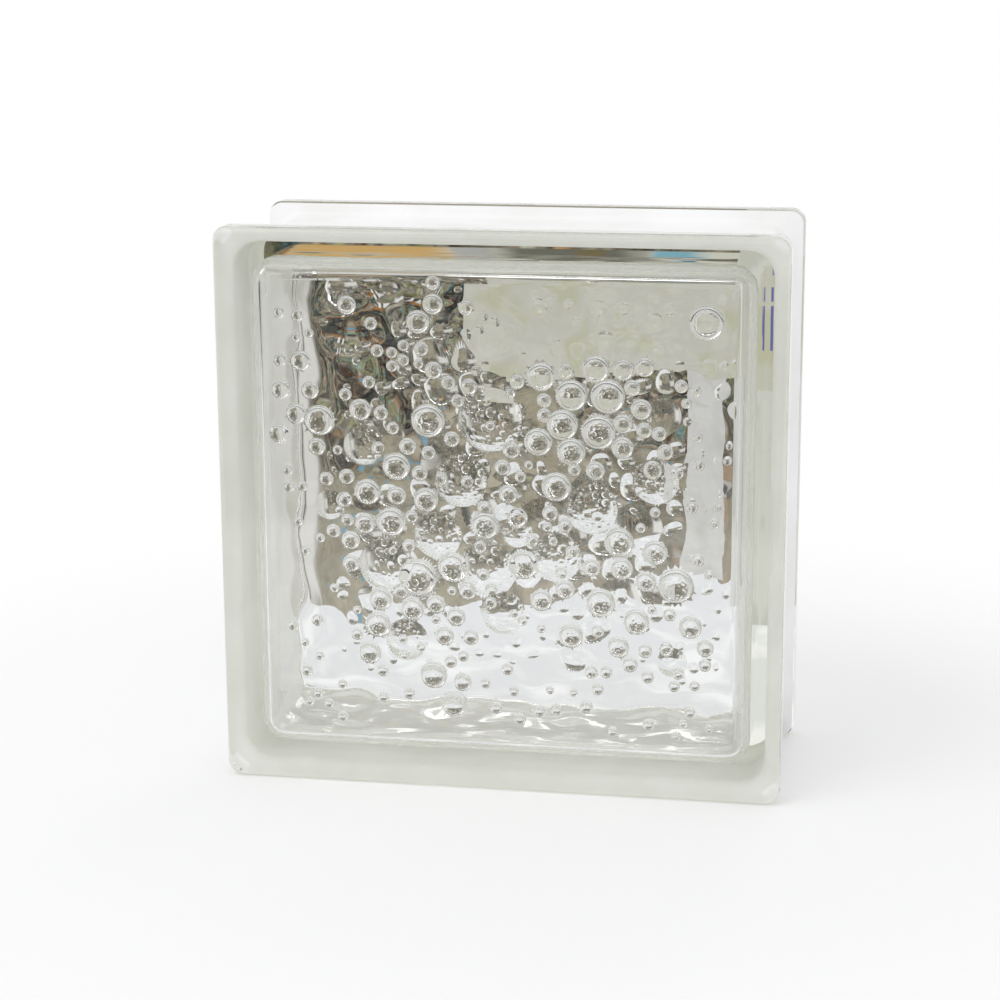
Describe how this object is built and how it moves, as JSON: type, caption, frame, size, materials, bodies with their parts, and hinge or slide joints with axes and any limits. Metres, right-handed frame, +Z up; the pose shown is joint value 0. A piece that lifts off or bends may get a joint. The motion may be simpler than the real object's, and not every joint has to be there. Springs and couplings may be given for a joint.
{
  "type": "glass block",
  "caption": "Hollow pressed glass block with smooth faces, bubble relief inside and white-coated mortar channels round its edges.",
  "frame": {"origin": "centre of the block's footprint, on the level it stands on", "axes": "+Z up, -Y out of the front face, +X to the right as seen from the front"},
  "size_m": [0.19, 0.08, 0.19],
  "materials": {
    "pressed_glass": "polished, clear with a faint green-grey tint",
    "edge_coating": "satin white polymer"
  },
  "bodies": {
    "root": {"front_half": "pressed_glass", "back_half": "pressed_glass", "edge_coating": "edge_coating"}
  },
  "joints": []
}
